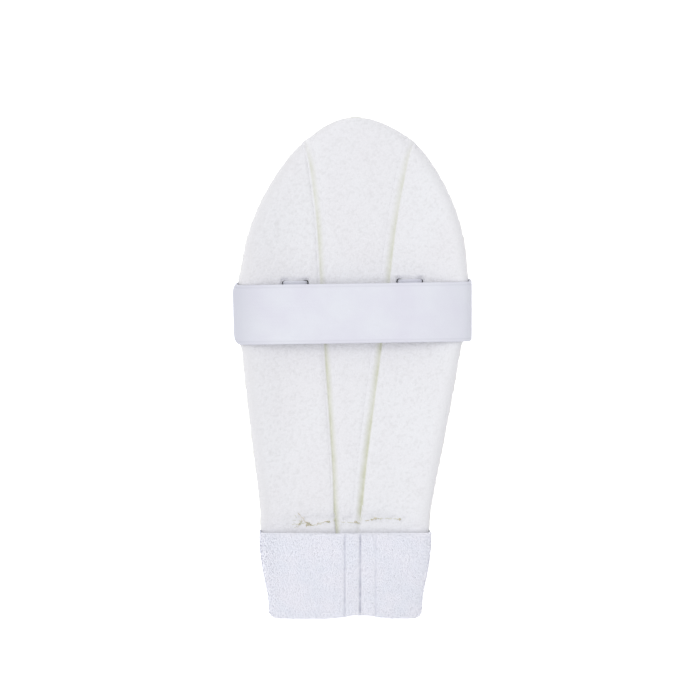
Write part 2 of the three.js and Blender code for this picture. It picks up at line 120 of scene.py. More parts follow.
# The pad's edges, where the cover is stretched smooth
EDGE_ROW = 2.4 * MM  # wide enough for each row to hold some of the shell's vertices
SMOOTH_EDGE = 4 * MM
EDGE_TUFTS = 0.25  # the share of the tufts that is left there
EDGE_SHADE = {LEFT: 0.42, RIGHT: 0.16}
RIM_FROM = 30 * MM  # steep faces further out than this belong to the pad's rim
RIM_LIFT = 0.3 * MM
RIM_SHADE = 0.4

# Where the pad's edges swell sideways: beside the strap's turns and at the cuff's mouth
FILL_FADE = 8 * MM
STRAP_FILL = {LEFT: 1.1 * MM, RIGHT: 0.55 * MM}
STRAP_FILL_FROM = 52 * MM
STRAP_FILL_REACH = 7 * MM
MOUTH_AT = -91 * MM  # where the pad goes into the cuff
MOUTH_FILL = 0.9 * MM
MOUTH_FILL_FROM = 34 * MM
MOUTH_FILL_REACH = 12 * MM

# The strap
STRAP_MIDDLE = 32.4 * MM  # of its outer run, along the pad
STRAP_RISE = 0.015
STRAP_HALF = 16.5 * MM
STRAP_STEP = 1.2 * MM  # between sections along it
STRAP_FINE = 0.2 * MM  # between the points with which its turns are rounded
STRAP_ROUNDING = 0.7 * MM
STRAP_SIDE = 0.85  # how squarely a face looks along the pad, to be one of the strap's two edge walls
STRAP_RIBS = 20
RIB_POINTS = 3
RIB_HEIGHT = 0.035 * MM
SELVEDGE_IN = 1.5 * MM
SELVEDGE_DEPTH = 0.13 * MM
SELVEDGE_WIDTH = 0.35 * MM
BORDER_DEPTH = 0.35 * MM  # how much its faces draw in at the very edges
BORDER_WIDTH = 0.4 * MM
TOP_BAND = 2.5 * MM  # below its highest point
BULGE_FROM = 50 * MM  # its turns lie further out than this
BULGE_TURN = 0.3  # and look sideways by more than this
BULGE_MOST = 2.5 * MM  # no turn bulges more
BULGE_FACING = 0.5
BULGE_SQUARE = 9  # a higher power ends the bulge more suddenly at the strap's edges
SELVEDGE_SHADE = 0.25
STEEP_SHADE = 0.15
END_SHADE = 0.3
LEFT_END_SHADE = 0.4
SLIT_SHADE = 0.3
ENDS_FROM = 30 * MM
ENDS_FADE = 36 * MM

# Where the strap is drawn into the panels between two slits
SLIT_NEAR = 26 * MM
SLIT_FAR = 37.8 * MM
BAR_DRAW = 0.9 * MM
LEG_DRAW = 1.0 * MM  # and as much again where it turns down into a slit
LEG_REACH = 3 * MM
LEG_POWER = 1.5
BAR_LOW = 8 * MM  # the legs' heights between which the bars' draw grows
BAR_HIGH = 14 * MM
RUN_LOW = 20.5 * MM  # the run on the arm side lies above this
DENT_ABOVE = 9 * MM  # only the panels' arm side is dented
DENT_SPARE = 0.1 * MM  # by which a panel is drawn down less than the bar on it
DENT_PAST = 2.2 * MM  # the dent reaches this far past the two slits
DENT_SIDE = 1.4 * MM
DENT_END = 2.4 * MM  # and this far past the strap's edges
DENT_END_SIDE = 2.5 * MM
FUNNEL_REACH = 3.2 * MM  # round a slit
FUNNEL_POWER = 1.3

# The bonded cover at the bottom of each groove: steep beside the side panel, gentle towards the middle one
BEAD_STEP = 0.6 * MM
EDGE_STEP = 1.2 * MM  # between the places where the panels' edges are measured
BEAD_START = 2 * MM  # from the side panel's end in the cuff
BEAD_SEED = 51
BEAD_DEPTH = {LEFT: [0.2 * MM, 1.5 * MM], RIGHT: [0.1 * MM, 1.0 * MM]}  # near the elbow and at the wrist
BEAD_SHIFT = {LEFT: 0.25 * MM, RIGHT: 0.7 * MM}  # from the side panel's edge to the deepest line
BEAD_WOBBLE = 0.25  # how much the depth varies, as a share
WOBBLE_SIZE = 9 * MM
SIDE_TOP_IN = 2.4 * MM  # a side panel is at its full height this far in from its edge
MIDDLE_TOP_IN = 2.8 * MM
BEAD_MEET = 1.5 * MM  # out here it meets the side panel's face, and past it runs under it
# Its steep side, on the side panel's rounded edge: how far out, share of the climb, tint
BEAD_BANK = [
    (2.4 * MM, 0.8, 0.0),
    (BEAD_MEET, 1.0, 0.0),
    (1.1 * MM, 0.93, 0.05),
    (0.7 * MM, 0.74, 0.2),
    (0.35 * MM, 0.4, 0.7),
]
BEAD_SLOPE = {LEFT: 3.0 * MM, RIGHT: 3.4 * MM}  # from the deepest line up to the middle panel's top
BEAD_CURVE = {LEFT: 2.0, RIGHT: 1.4}
BEAD_COLUMNS = 12
BEAD_END = 1.8 * MM  # how far it runs on over the middle panel's rounded edge
BEAD_UNDER = 0.02 * MM  # it lies this far under that panel's top where it reaches it
BEAD_SINK = 0.14 * MM  # and sinks this much more by its end
BEAD_FOOT = 0.1 * MM  # its underside lies this high over the shell

# Where the grooves run out at the elbow
TIP_FADE = 16 * MM
TIP_DEPTH = 0.4  # the share of the depth that is left there
TIP_REACH = 4.5 * MM  # how far the bottom runs on past the side panel
TIP_DROP = 1.1 * MM
TIP_ROOM = 0.6 * MM  # between it and the pad's outline
TIP_FALL = 0.9  # how much it falls for each millimetre that it would reach past that

# The glue's tint in the grooves
GLUE_ELBOW = 0.45
GLUE_WRIST = 0.6  # and this much more at the wrist
GLUE_POWER = 0.8
GLUE_WOBBLE = 0.3
GLUE_SPREAD = 1.15  # a higher power keeps it nearer to the deepest line
GLUE_END = -87 * MM  # the right groove's tint has faded here, at the seam
GLUE_END_FADE = 6 * MM
GLUE_LEFT_OVER = 0.15
GLUE_FLAT = 0.5  # the share of the tufts that the glue lays flat

# The seam sewn by hand across the panels: places in millimetres, across and along
SEAM_SEED = 5
SEAM_THREAD = 0.15 * MM
THREAD_SIDES = 6
THREAD_STEPS = 5
STITCH_LIFTS = [0.22, -0.25]  # a stitch's two ends, in millimetres from the cover
STITCH_MIDDLE = 0.1
PALE_WANDER = 0.5
RUST_WANDER = 0.6
LONG_STITCHES = [
    (-31.5, -87.1), (-29.4, -86.9), (-27.4, -86.5), (-25.2, -86.6), (-22.4, -87.7), (-20.0, -86.9),
    (-17.2, -86.0), (-15.3, -85.9), (-13.6, -85.5), (-11.2, -85.5), (-9.2, -85.4),
]
MIDDLE_STITCHES = [(-6.2, -85.6), (-3.4, -85.5), (-1.0, -85.9), (1.5, -85.7), (3.4, -86.6)]
RIGHT_STITCHES = [
    (6.9, -84.9), (9.2, -84.4), (11.2, -84.3), (13.1, -83.5), (15.2, -84.0), (17.6, -84.0),
    (20.3, -83.9), (22.4, -83.5), (24.4, -83.7), (26.3, -84.1),
]
RUST_STITCHES = [
    (-30.3, -80.6), (-28.6, -82.4), (-27.3, -84.0), (-25.9, -86.0), (-23.5, -87.4), (-20.8, -87.4),
    (-19.2, -86.2), (-16.8, -86.4), (-14.2, -85.3), (-12.2, -85.9),
]
RUST_RIGHT = [(7.6, -85.1), (10.0, -84.6), (12.2, -83.8), (13.6, -84.1), (16.0, -84.2)]

# Knots on it, with their sizes, and the frayed ends at its left
KNOTS = [
    (-25.0, -86.8, 1.5), (-23.6, -87.3, 1.0), (-29.7, -87.1, 0.9), (-13.5, -85.6, 1.0), (1.9, -85.9, 1.1),
    (3.2, -86.5, 0.7), (12.9, -83.7, 1.0), (10.6, -84.4, 0.7), (26.2, -84.1, 1.0),
]
KNOT_LIFT = 0.35
KNOT_POINTS = 11
KNOT_SIDES = 5
KNOT_STEPS = 4
KNOT_SPREAD = (1, 0.8, 0.4)
KNOT_RADIUS = 0.42 * MM  # of a knot of size 1
SECOND_KNOT = (0.2, 0.1, 0.8)  # a thread of the other colour: across, along and its share of the size
FRAY_FROM = (-28.2, -85.6)
FRAY_ENDS = [
    (-31.9, -81.8), (-29.5, -81.2), (-33.2, -84.6), (-33.6, -87.0),
    (-32.4, -88.9), (-27.0, -82.7), (-30.6, -88.8),
]
FRAY_PALE = -31  # ends further left are pale
FRAY_THREAD = 0.1 * MM
FRAY_BEND = 0.6
FRAY_WANDER = 0.4

# The cuff's cloth
PILE_ROOM = 0.5 * MM  # the base cloth lies this far inside the solid's outer face
FACE_SPARE = 0.3 * MM  # a ray outwards from a face starts this far off it
FACE_LOOK = 60 * MM  # and reaches this far
LINING_SEED = 31
LINING_SIZE = 1.4 * MM
LINING_LIFT = 0.12 * MM
LINING_SHADE = 0.03
OUTSIDE_SHADE = 0.05  # more than the lining
SEAM_LINES = [-4.36 * MM, 4.24 * MM, 12.84 * MM]  # the middle one is the butted seam
SEAM_BARE = [0.45 * MM, 0.45 * MM, 0.4 * MM]  # half width without loops
SEAM_DIP = [0.5 * MM, 0.7 * MM, 0.35 * MM]
SEAM_SHADE = [0.7, 0.9, 0.4]
SEAM_WIDTH = 0.42 * MM
SEAM_STITCH = 2.2 * MM
STITCH_SEED = 37
STITCH_STRETCH = [0.2, 1, 0.2]  # the dashes change along the cuff
STITCH_SHADE = 0.72
STITCH_CHANGE = 0.4
SEAM_WANDER = 0.25 * MM
WANDER_SEED = 41
WANDER_SIZE = 13 * MM
HUG_ROW = 1 * MM
HUG_GAP = 0.35 * MM  # between the pad's edges and the cuff's sides at its mouth
HUG_MOST = 1.3 * MM
HUG_FACING = 0.25
HUG_START = 26 * MM  # it starts this far from the mouth
HUG_FADE = 14 * MM  # and grows over this length

# The terry loops
LOOP_SEED = 7
LOOP_PITCH = 1.0 * MM
LOOP_STRAY = 0.3  # from its place in the rows, as a share of the pitch
LOOP_SIDE_STRAY = 0.5  # along the cuff, on its sides
LOOP_HEIGHT = 0.45 * MM
LOOP_HEIGHTS = (0.75, 1.1)
LOOP_SPAN = 0.75 * MM
LOOP_TURN = 0.6
LOOP_LEAN = 0.4
LOOP_ROOT = 0.1 * MM
LOOP_RADIUS = 0.2 * MM
LOOP_SIDES = 3
LOOP_STEPS = 3
LOOP_SHADE = 0.04
LOOP_STEEP_SHADE = 0.1
LOOP_EDGE = 0.75  # the share of the cuff's half width where its edges start to darken
LOOP_EDGE_SHADE = {LEFT: 0.5, RIGHT: 0.1}
HEM_SHADE = 0.18
HEM_REACH = 7 * MM
FRONT_FACING = 0.3
ROW_FACING = 0.6  # how squarely a ray meets the cloth where it sets a loop
SIDE_FACING = 0.8
SIDE_START = 50 * MM  # rays across the cuff start this far beside it


# Meshes

def link(obj):
    bpy.context.scene.collection.objects.link(obj)
    return obj


def mesh_object(name, vertices, faces):
    mesh = bpy.data.meshes.new(name)
    mesh.from_pydata([tuple(v) for v in vertices], [], faces)
    mesh.update()
    for polygon in mesh.polygons:
        polygon.use_smooth = True
    return link(bpy.data.objects.new(name, mesh))


def applied(obj):
    """obj with its modifiers made real."""
    depsgraph = bpy.context.evaluated_depsgraph_get()
    mesh = bpy.data.meshes.new_from_object(obj.evaluated_get(depsgraph))
    obj.modifiers.clear()
    old = obj.data
    obj.data = mesh
    bpy.data.meshes.remove(old)
    mesh.polygons.foreach_set("use_smooth", [True] * len(mesh.polygons))
    mesh.update()
    return obj


def welded(node):
    """A CAD node's mesh, with the corners of its facets joined."""
    bm = bmesh.new()
    bm.from_mesh(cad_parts[node].data)
    bmesh.ops.remove_doubles(bm, verts=bm.verts, dist=WELD)
    return bm


def dense_copy(node, name, voxel, soften=SOFTEN):
    """A finely and evenly meshed copy of a CAD node, with its facets rounded out."""
    bm = welded(node)
    bmesh.ops.join_triangles(bm, faces=bm.faces[:], angle_face_threshold=JOIN, angle_shape_threshold=math.pi)
    crease = bm.edges.layers.float.new("crease_edge")
    for edge in bm.edges:
        if len(edge.link_faces) == 2 and edge.calc_face_angle() > SHARP:
            edge[crease] = 1
    mesh = bpy.data.meshes.new(name)
    bm.to_mesh(mesh)
    bm.free()
    obj = link(bpy.data.objects.new(name, mesh))
    rounded = obj.modifiers.new("rounded", "SUBSURF")
    rounded.levels = ROUNDINGS
    rounded.render_levels = ROUNDINGS
    even = obj.modifiers.new("even", "REMESH")
    even.mode = "VOXEL"
    even.voxel_size = voxel
    even.use_smooth_shade = True
    soft = obj.modifiers.new("soft", "SMOOTH")
    soft.factor = 0.5
    soft.iterations = soften
    return applied(obj)


def ring_faces(count, sides, closed):
    """The quads between rings of points, and two end faces unless the last ring meets the first."""
    faces = []
    for i in range(count if closed else count - 1):
        near = i * sides
        far = (i + 1) % count * sides
        for j in range(sides):
            k = (j + 1) % sides
            faces.append((near + j, near + k, far + k, far + j))
    if not closed:
        faces.append(tuple(range(sides)))
        faces.append(tuple((count - 1) * sides + j for j in reversed(range(sides))))
    return faces


def outwards(obj):
    """Turns the faces of a closed mesh outwards."""
    bm = bmesh.new()
    bm.from_mesh(obj.data)
    bmesh.ops.recalc_face_normals(bm, faces=bm.faces)
    bm.to_mesh(obj.data)
    bm.free()


def places_and_normals(mesh):
    count = len(mesh.vertices)
    places = np.empty(count * 3)
    mesh.vertices.foreach_get("co", places)
    normals = np.empty(count * 3)
    mesh.vertices.foreach_get("normal", normals)
    return places.reshape(-1, 3), normals.reshape(-1, 3)


def set_places(mesh, places):
    mesh.vertices.foreach_set("co", places.ravel())
    mesh.update()


def set_share(mesh, name, values):
    """A number from 0 to 1 on each vertex, which a material can read."""
    attribute = mesh.attributes.new(name, "FLOAT", "POINT")
    attribute.data.foreach_set("value", np.clip(values, 0, 1).astype(np.float32))


# Noise, rays and edges

NOISE_SIDE = 64
NOISE_TURN = np.array([[0.80, -0.36, 0.48], [0.60, 0.48, -0.64], [0.0, 0.80, 0.60]])


def eased(share):
    """share, kept from 0 to 1 and slowed down at both ends."""
    share = np.clip(share, 0, 1)
    return share * share * (3 - 2 * share)


def soft_noise(points, size, seed):
    """Smooth random values from -1 to 1, with bumps about size apart."""
    table = np.random.default_rng(seed).uniform(-1, 1, (NOISE_SIDE, NOISE_SIDE, NOISE_SIDE))
    cell = np.asarray(points) @ NOISE_TURN.T / size
    base = np.floor(cell).astype(int)
    part = eased(cell - base)
    total = np.zeros(len(cell))
    for corner in range(8):
        step = np.array([corner & 1, (corner >> 1) & 1, (corner >> 2) & 1])
        weight = np.prod(np.where(step == 1, part, 1 - part), axis=1)
        i, j, k = ((base + step) % NOISE_SIDE).T
        total += weight * table[i, j, k]
    return total


def tree_of(*objects):
    """What rays are cast on: all these objects at once."""
    vertices = []
    faces = []
    for obj in objects:
        start = len(vertices)
        vertices.extend(v.co.copy() for v in obj.data.vertices)
        faces.extend([start + i for i in p.vertices] for p in obj.data.polygons)
    return BVHTree.FromPolygons(vertices, faces)


def heights(tree, across, along):
    """How high the top lies at each place, or NaN where there is nothing."""
    hits = [tree.ray_cast(Vector((x, y, RAY_START)), DOWN)[0] for x, y in zip(across, along)]
    return np.array([math.nan if hit is None else hit.z for hit in hits])


def filled(values):
    """The values with the unknown ones filled in from their neighbours."""
    known = ~np.isnan(values)
    at = np.arange(len(values))
    return np.interp(at, at[known], values[known])


def even_out(values, reach):
    """A running mean, which leaves the ends where they are."""
    count = 2 * reach + 1
    return np.convolve(np.pad(values, reach, mode="edge"), np.ones(count) / count, "valid")


def edge_line(obj, side, at):
    """How far across a piece reaches on its left or right, at even steps along the pad."""
    places, _ = places_and_normals(obj.data)
    row = np.round((places[:, 1] - at[0]) / (at[1] - at[0])).astype(int)
    edge = np.full(len(at), np.nan)
    for i in range(len(at)):
        there = places[row == i, 0]
        if len(there):
            edge[i] = side * np.max(side * there)
    return filled(edge)


# Camera, light and floor

def add_camera():
    data = bpy.data.cameras.new("camera")
    data.sensor_width = SENSOR_WIDTH
    data.lens = SENSOR_WIDTH * (VIEW_HEIGHT - VIEW_LEVEL) / VIEW_WIDTH
    camera = link(bpy.data.objects.new("camera", data))
    camera.location = (VIEW_X, VIEW_Y, VIEW_HEIGHT)
    bpy.context.scene.camera = camera


def add_light():
    world = bpy.data.worlds.new("world")
    world.use_nodes = True
    background = world.node_tree.nodes["Background"]
    background.inputs["Color"].default_value = (1, 1, 1, 1)
    background.inputs["Strength"].default_value = SKY_STRENGTH
    bpy.context.scene.world = world
    data = bpy.data.lights.new("top_light", "AREA")
    data.shape = "SQUARE"
    data.size = LAMP_SIZE
    data.energy = LAMP_WATTS
    lamp = link(bpy.data.objects.new("top_light", data))
    lamp.location = LAMP_PLACE
    lamp.rotation_euler = (-Vector(LAMP_PLACE)).to_track_quat("-Z", "Y").to_euler()


def add_floor():
    corners = [(x * FLOOR_REACH, y * FLOOR_REACH, 0) for x, y in ((-1, -1), (1, -1), (1, 1), (-1, 1))]
    floor = mesh_object("floor", corners, [(0, 1, 2, 3)])
    material = bpy.data.materials.new("floor")
    material.use_nodes = True
    shader = material.node_tree.nodes["Principled BSDF"]
    shader.inputs["Base Color"].default_value = (FLOOR_GREY, FLOOR_GREY, FLOOR_GREY, 1)
    shader.inputs["Roughness"].default_value = 0.9
    shader.inputs["Emission Color"].default_value = (1, 1, 1, 1)
    shader.inputs["Emission Strength"].default_value = FLOOR_GLOW
    floor.data.materials.append(material)


def set_plain_colours():
    settings = bpy.context.scene.view_settings
    settings.view_transform = "Standard"
    settings.look = "None"
    settings.exposure = 0
    settings.gamma = 1


# Materials

class Nodes:
    """A material's node tree, built a node at a time."""

    def __init__(self, name, roughness, sheen=0.0):
        self.material = bpy.data.materials.new(name)
        self.material.use_nodes = True
        self.tree = self.material.node_tree
        self.shader = self.tree.nodes["Principled BSDF"]
        self.shader.inputs["Roughness"].default_value = roughness
        self.shader.inputs["Sheen Weight"].default_value = sheen
        self.shader.inputs["Sheen Roughness"].default_value = 0.6
        self.shader.inputs["Specular IOR Level"].default_value = 0.25
        self.where = self.tree.nodes.new("ShaderNodeTexCoord").outputs["Object"]

    def link(self, output, socket):
        self.tree.links.new(output, socket)

    def noise(self, size, detail):
        node = self.tree.nodes.new("ShaderNodeTexNoise")
        node.inputs["Scale"].default_value = 1 / size
        node.inputs["Detail"].default_value = detail
        self.link(self.where, node.inputs["Vector"])
        return node.outputs["Fac"]

    def attribute(self, name):
        node = self.tree.nodes.new("ShaderNodeAttribute")
        node.attribute_name = name
        return node.outputs["Fac"]

    def ranged(self, value, low, high, to_low=0.0, to_high=1.0):
        node = self.tree.nodes.new("ShaderNodeMapRange")
        node.inputs["From Min"].default_value = low
        node.inputs["From Max"].default_value = high
        node.inputs["To Min"].default_value = to_low
        node.inputs["To Max"].default_value = to_high
        self.link(value, node.inputs["Value"])
        return node.outputs["Result"]

    def patches(self, size, detail, spread=0.15):
        """Soft patches about size across, from 0 to 1. A smaller spread makes them crisper."""
        return self.ranged(self.noise(size, detail), 0.5 - spread, 0.5 + spread)

    def mix(self, share, first, second):
        node = self.tree.nodes.new("ShaderNodeMix")
        node.data_type = "RGBA"
        self.link(share, node.inputs["Factor"])
        for socket, colour in (("A", first), ("B", second)):
            target = [i for i in node.inputs if i.name == socket and i.type == "RGBA"][0]
            if isinstance(colour, tuple):
                target.default_value = (*colour, 1)
            else:
                self.link(colour, target)
        return [o for o in node.outputs if o.type == "RGBA"][0]

    def colour(self, output):
        self.link(output, self.shader.inputs["Base Color"])

    def grain(self, size, detail, height):
        """Fine relief, height deep."""
        node = self.tree.nodes.new("ShaderNodeBump")
        node.inputs["Distance"].default_value = height
        node.inputs["Strength"].default_value = 1
        self.link(self.noise(size, detail), node.inputs["Height"])
        self.link(node.outputs["Normal"], self.shader.inputs["Normal"])


def pile_material():
    """Brushed white pile: soft tufts with painted shade between them, and glue in the grooves."""
    made = Nodes("brushed_pile", roughness=0.95, sheen=0.12)
    # Random mottling at the tufts' size, whose darker colour is painted shade between tufts
    tufts = made.patches(size=0.7 * MM, detail=3, spread=0.16)
    tufted = made.mix(tufts, PILE_DEEP, PILE_TIPS)
    clouded = made.mix(made.patches(size=30 * MM, detail=2), PILE_WARM, PILE_COOL)
    both = made.mix(made.ranged(tufts, 0, 1, 0.4, 0.6), clouded, tufted)
    # Painted shade, as much as each vertex's share asks for
    shaded = made.mix(made.attribute("painted_shade"), both, PILE_SHADE)
    glued = made.mix(made.patches(size=3 * MM, detail=3, spread=0.14), GLUE_THICK, GLUE_THIN)
    made.colour(made.mix(made.attribute("glue"), shaded, glued))
    made.grain(size=0.8 * MM, detail=2, height=0.25 * MM)
    return made.material


def foam_material():
    """Cream moulded foam with a fine matt skin."""
    made = Nodes("moulded_foam", roughness=0.7)
    made.colour(made.mix(made.patches(size=18 * MM, detail=3), FOAM_DARK, FOAM_LIGHT))
    made.grain(size=0.7 * MM, detail=2, height=0.08 * MM)
    return made.material


def elastic_material():
    """White knitted elastic, slightly lavender."""
    made = Nodes("woven_elastic", roughness=0.8, sheen=0.1)
    plain = made.mix(made.patches(size=20 * MM, detail=2), ELASTIC_DARK, ELASTIC_LIGHT)
    # Painted shade, as much as each vertex's share asks for
    made.colour(made.mix(made.attribute("painted_shade"), plain, ELASTIC_SHADE))
    made.grain(size=0.5 * MM, detail=2, height=0.08 * MM)
    return made.material


def towelling_material():
    """White terry cloth, slightly lavender."""
    made = Nodes("towelling", roughness=0.95, sheen=0.2)
    plain = made.mix(made.patches(size=12 * MM, detail=2), TERRY_DARK, TERRY_LIGHT)
    # Painted shade, as much as each vertex's share asks for
    made.colour(made.mix(made.attribute("painted_shade"), plain, TERRY_SHADE))
    made.grain(size=0.4 * MM, detail=2, height=0.08 * MM)
    return made.material


def thread_material(name, dark, light):
    """Sewing thread, a little darker in places."""
    made = Nodes(name, roughness=0.75, sheen=0.1)
    made.colour(made.mix(made.patches(size=2.5 * MM, detail=1, spread=0.1), dark, light))
    made.grain(size=0.3 * MM, detail=1, height=0.05 * MM)
    return made.material


def finish_piece(obj, material, nodes=()):
    obj.data.materials.clear()
    obj.data.materials.append(material)
    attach(obj, "root")
    if nodes:
        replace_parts(obj, *nodes)


# The pad

def swell_out(places, most, start):
    """A move outwards that grows to most over the pad's edges, from start on."""
    return np.sign(places[:, 0]) * most * np.clip((np.abs(places[:, 0]) - start) / FILL_FADE, 0, 1)


def edge_fill(places):
    """How far the pad's edges swell, to lie against the strap's turns and flow into the cuff's sides."""
    from_strap = np.abs(places[:, 1] - STRAP_MIDDLE) - STRAP_HALF
    most = np.where(places[:, 0] < 0, STRAP_FILL[LEFT], STRAP_FILL[RIGHT])
    at_strap = swell_out(places, most, STRAP_FILL_FROM) * eased(1 - from_strap / STRAP_FILL_REACH)
    from_mouth = np.abs(places[:, 1] - MOUTH_AT)
    at_mouth = swell_out(places, MOUTH_FILL, MOUTH_FILL_FROM) * eased(1 - from_mouth / MOUTH_FILL_REACH)
    return at_strap + at_mouth


def from_slit(x):
    """How far a place lies beside the nearest slit, when x is its distance from the pad's middle."""
    return np.minimum(np.abs(x - SLIT_NEAR), np.abs(x - SLIT_FAR))


def bar_dent(places):
    """How far the elastic between two slits draws the panel down."""
    x = np.abs(places[:, 0])
    across = np.clip((np.minimum(x - SLIT_NEAR, SLIT_FAR - x) + DENT_PAST) / DENT_SIDE, 0, 1)
    y = places[:, 1] - STRAP_MIDDLE - STRAP_RISE * places[:, 0]
    along = eased((STRAP_HALF + DENT_END - np.abs(y)) / DENT_END_SIDE)
    soft = across * (2 - across) * along
    funnel = LEG_DRAW * np.clip(1 - from_slit(x) / FUNNEL_REACH, 0, 1) ** FUNNEL_POWER * along
    return ((BAR_DRAW - DENT_SPARE) * soft + funnel) * (places[:, 2] > DENT_ABOVE)


def inside(places, shell):
    """0 at the pad's edges, where the cover is stretched smooth, and up to 1 further in."""
    low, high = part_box("shell")
    at = np.arange(low.y, high.y, EDGE_ROW)
    left = np.interp(places[:, 1], at, edge_line(shell, LEFT, at))
    right = np.interp(places[:, 1], at, edge_line(shell, RIGHT, at))
    depth = np.minimum(places[:, 0] - left, right - places[:, 0])
    return np.clip((depth - SMOOTH_EDGE) / SMOOTH_EDGE, 0, 1)


def add_panel(node, shell, material, seed):
    panel = dense_copy(node, node.replace("panel", "cover"), PANEL_VOXEL)
    places, normals = places_and_normals(panel.data)
    facing = np.clip(normals[:, 2] * 2, 0, 1)
    deep = inside(places, shell)
    tufts = soft_noise(places, TUFT_SIZE, seed) * (EDGE_TUFTS + (1 - EDGE_TUFTS) * deep)
    waves = soft_noise(places, WAVE_SIZE, seed + 1)
    swell = soft_noise(places, SWELL_SIZE, seed + 2)
    lift = (TUFT_LIFT * tufts + WAVE_LIFT * waves + SWELL_LIFT * swell - SETTLE) * facing
    lift += RIM_LIFT * (1 - facing) * (np.abs(places[:, 0]) > RIM_FROM)
    places = places + normals * lift[:, None]
    places[:, 0] += edge_fill(places)
    places[:, 2] -= bar_dent(places) * facing
    set_places(panel.data, places)
    # Painted shade: between the tufts, on steep faces and near the pad's edges, more on the left
    steep = 1 - np.clip(normals[:, 2], 0, 1)
    edge_shade = np.where(places[:, 0] < 0, EDGE_SHADE[LEFT], EDGE_SHADE[RIGHT]) * (1 - deep)
    painted_shade = TUFT_SHADE * np.clip(-tufts, 0, 1) * facing
    set_share(panel.data, "painted_shade", painted_shade + RIM_SHADE * steep + edge_shade)
    finish_piece(panel, material, [node])
    return panel


def add_shell(material):
    shell = dense_copy("shell", "foam_shell", SHELL_VOXEL, SHELL_SOFTEN)
    places, normals = places_and_normals(shell.data)
    places = places + normals * (RIM_LIFT * (1 - np.abs(normals[:, 2])))[:, None]
    places[:, 0] += edge_fill(places)
    set_places(shell.data, places)
    finish_piece(shell, material, ["shell"])
    return shell


# The grooves

def bead_ring(side, edge, lowest, meet, bank_top):
    """Across a groove's bottom, from the side panel to the middle one: places, heights and tints."""
    out, climb, tint = (np.array(column) for column in zip(*BEAD_BANK))
    away = np.linspace(0, BEAD_SLOPE[side] + BEAD_END, BEAD_COLUMNS + 1)
    share = np.minimum(1, away / BEAD_SLOPE[side])
    beyond = np.maximum(0, away - BEAD_SLOPE[side]) / BEAD_END
    slope_climb = 1 - (1 - share) ** BEAD_CURVE[side]
    bank_level = lowest + (meet - lowest) * climb
    slope_level = lowest + (bank_top - BEAD_UNDER - lowest) * slope_climb - BEAD_SINK * beyond ** 2
    across = side * edge + np.concatenate([out, -away])
    return (
        across,
        np.concatenate([bank_level, slope_level]),
        np.concatenate([tint, (1 - share) ** GLUE_SPREAD]),
    )


def add_bead(name, side_panel, middle_panel, shell, side, material):
    """The bottom of the groove on one side of the middle panel."""
    low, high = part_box(side_panel["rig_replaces"][0])
    at = np.arange(low.y + BEAD_START, high.y + TIP_REACH, BEAD_STEP)
    rows = np.arange(at[0], at[-1] + EDGE_STEP, EDGE_STEP)
    wall = np.interp(at, rows, even_out(edge_line(side_panel, -side, rows), 2))
    bank = np.interp(at, rows, edge_line(middle_panel, side, rows))
    rim = side * np.interp(at, rows, edge_line(shell, side, rows)) - TIP_ROOM
    deepest = wall + side * BEAD_SHIFT[side]
    covers = tree_of(side_panel, middle_panel)
    base = heights(tree_of(shell), (wall + bank) / 2, at)
    side_top = filled(heights(covers, wall + side * SIDE_TOP_IN, at))
    bank_top = filled(heights(covers, bank - side * MIDDLE_TOP_IN, at))
    meet = even_out(filled(heights(covers, deepest + side * BEAD_MEET, at)), 1)
    top = even_out(np.minimum(side_top, bank_top), 6)
    bank_top = even_out(bank_top, 6)
    wobble = soft_noise(np.column_stack([at, 0 * at, 0 * at]), WOBBLE_SIZE, BEAD_SEED + side)

    # Along the groove: 0 at the elbow and 1 at the wrist
    along = 1 - (at - at[0]) / (at[-1] - at[0])
    tip = np.minimum(1, (at[-1] - at) / TIP_FADE)
    near, far = BEAD_DEPTH[side]
    deep = (near + (far - near) * along) * (1 + BEAD_WOBBLE * wobble) * (TIP_DEPTH + (1 - TIP_DEPTH) * tip)
    drop = TIP_DROP * np.maximum(0, 1 - (at[-1] - at) / TIP_REACH) ** 2
    amount = (GLUE_ELBOW + GLUE_WRIST * along ** GLUE_POWER) * (1 + GLUE_WOBBLE * wobble) * tip
    if side == RIGHT:
        amount *= np.clip((at - GLUE_END) / GLUE_END_FADE, GLUE_LEFT_OVER, 1)

    rings = []
    glue = []
    for i in np.flatnonzero(~np.isnan(base)):
        lowest = top[i] - deep[i] - drop[i]
        across, level, tint = bead_ring(side, deepest[i], lowest, meet[i] - drop[i], bank_top[i] - drop[i])
        past = np.maximum(0, across - rim[i])
        x = side * (across - past)
        z = level - TIP_FALL * past
        foot = base[i] + BEAD_FOOT
        x = np.append(x, [x[-1], x[0]])
        z = np.append(z, [foot, foot])
        rings.append(np.column_stack([x, np.full(len(x), at[i]), z]))
        glue.append(amount[i] * np.append(tint, [0, 0]))
    sides = len(rings[0])
    places = np.vstack(rings)
    glue = np.clip(np.concatenate(glue), 0, 1)
    covered = np.tile([1] * (sides - 2) + [0, 0], len(rings))
    tufts = soft_noise(places, TUFT_SIZE, PANEL_SEEDS[1]) * covered
    places[:, 2] += TUFT_LIFT * tufts * (1 - GLUE_FLAT * glue)
    bead = mesh_object(name, places, ring_faces(len(rings), sides, closed=False))
    outwards(bead)
    set_share(bead.data, "glue", glue)
    # Painted shade between the tufts, as on the panels
    set_share(bead.data, "painted_shade", TUFT_SHADE * np.clip(-tufts, 0, 1))
    finish_piece(bead, material)
    return bead


# The strap

def walk(edges):
    """The closed rings of vertices that a set of edges makes."""
    left = set(edges)
    rings = []
    while left:
        edge = left.pop()
        ring = [edge.verts[0], edge.verts[1]]
        while ring[-1] is not ring[0]:
            step = next(e for e in ring[-1].link_edges if e in left)
            left.discard(step)
            ring.append(step.other_vert(ring[-1]))
        rings.append([v.co.copy() for v in ring[:-1]])
    return rings


